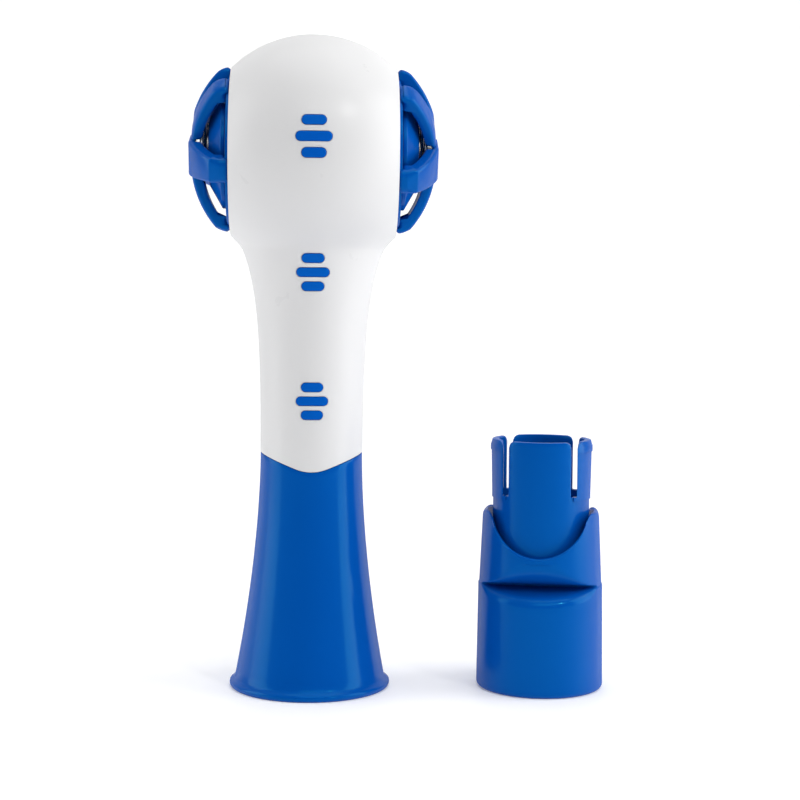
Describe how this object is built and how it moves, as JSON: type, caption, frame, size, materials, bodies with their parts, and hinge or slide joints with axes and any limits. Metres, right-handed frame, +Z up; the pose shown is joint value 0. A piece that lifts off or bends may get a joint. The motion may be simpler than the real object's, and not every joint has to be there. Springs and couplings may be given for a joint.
{
  "type": "breathing trainer",
  "caption": "Hand-held breathing trainer: white ball head with sprung side valves under blue dial cages, neck with grip pads on a flared blue bell, and a loose snap-in mouthpiece.",
  "frame": {"origin": "axis of the bell and neck, at the height of the table that the bell's rim stands on", "axes": "+Z up along the neck, +X towards the right valve and the loose mouthpiece, -Y towards the front with the grip pads"},
  "size_m": [0.0959, 0.0541, 0.1492],
  "materials": {
    "shell_white": "satin",
    "body_blue": "satin",
    "soft_seal": "matt",
    "spring_steel": "drawn wire and pressed sheet"
  },
  "bodies": {
    "trainer": {"front_shell": "shell_white", "rear_shell": "shell_white", "base_bell": "body_blue", "upper_grip_pads": "body_blue", "middle_grip_pads": "body_blue", "lower_grip_pads": "body_blue", "airway_tube": "body_blue", "mouth_socket": "body_blue", "socket_seal": "soft_seal", "left_valve_seat": "body_blue", "right_valve_seat": "body_blue", "left_seat_gasket": "soft_seal", "right_seat_gasket": "soft_seal", "left_spring": "spring_steel", "right_spring": "spring_steel", "left_guide_pin": "spring_steel", "right_guide_pin": "spring_steel"},
    "left_valve": {"left_valve_disc": "body_blue", "left_disc_seal": "soft_seal"},
    "right_valve": {"right_valve_disc": "body_blue", "right_disc_seal": "soft_seal"},
    "left_dial": {"left_cage": "body_blue"},
    "right_dial": {"right_cage": "body_blue"},
    "left_cup": {"left_spring_cup": "spring_steel"},
    "right_cup": {"right_spring_cup": "spring_steel"},
    "mouthpiece": {"snap_adapter": "body_blue", "mouth_cup": "body_blue", "adapter_seal": "soft_seal"}
  },
  "joints": [
    {"name": "left_valve_lift", "type": "slide", "parent": "trainer", "child": "left_valve", "axis": [-1, 0, 0], "range_m": [0, 0.0009], "stiffness_N_per_m": 200, "springref_m": -0.003, "deforming": ["left_spring"]},
    {"name": "left_dial_turn", "type": "hinge", "parent": "trainer", "child": "left_dial", "pos_m": [-0.027, 0, 0.1223], "axis": [1, 0, 0], "range_deg": [0, 120]},
    {"name": "left_cup_feed", "type": "slide", "parent": "trainer", "child": "left_cup", "axis": [1, 0, 0], "range_m": [0, 0.0007], "deforming": ["left_spring"]},
    {"name": "right_valve_lift", "type": "slide", "parent": "trainer", "child": "right_valve", "axis": [1, 0, 0], "range_m": [0, 0.0009], "stiffness_N_per_m": 200, "springref_m": -0.003, "deforming": ["right_spring"]},
    {"name": "right_dial_turn", "type": "hinge", "parent": "trainer", "child": "right_dial", "pos_m": [0.027, 0, 0.1223], "axis": [-1, 0, 0], "range_deg": [0, 120]},
    {"name": "right_cup_feed", "type": "slide", "parent": "trainer", "child": "right_cup", "axis": [-1, 0, 0], "range_m": [0, 0.0007], "deforming": ["right_spring"]},
    {"name": "mouthpiece_lift", "type": "slide", "parent": "trainer", "child": "mouthpiece", "axis": [0, 0, 1], "range_m": [0, 0.06]}
  ],
  "couplings": [
    {"joint": "left_cup_feed", "follows": "left_dial_turn", "m_per_rad": 0.000334},
    {"joint": "right_cup_feed", "follows": "right_dial_turn", "m_per_rad": 0.000334}
  ]
}
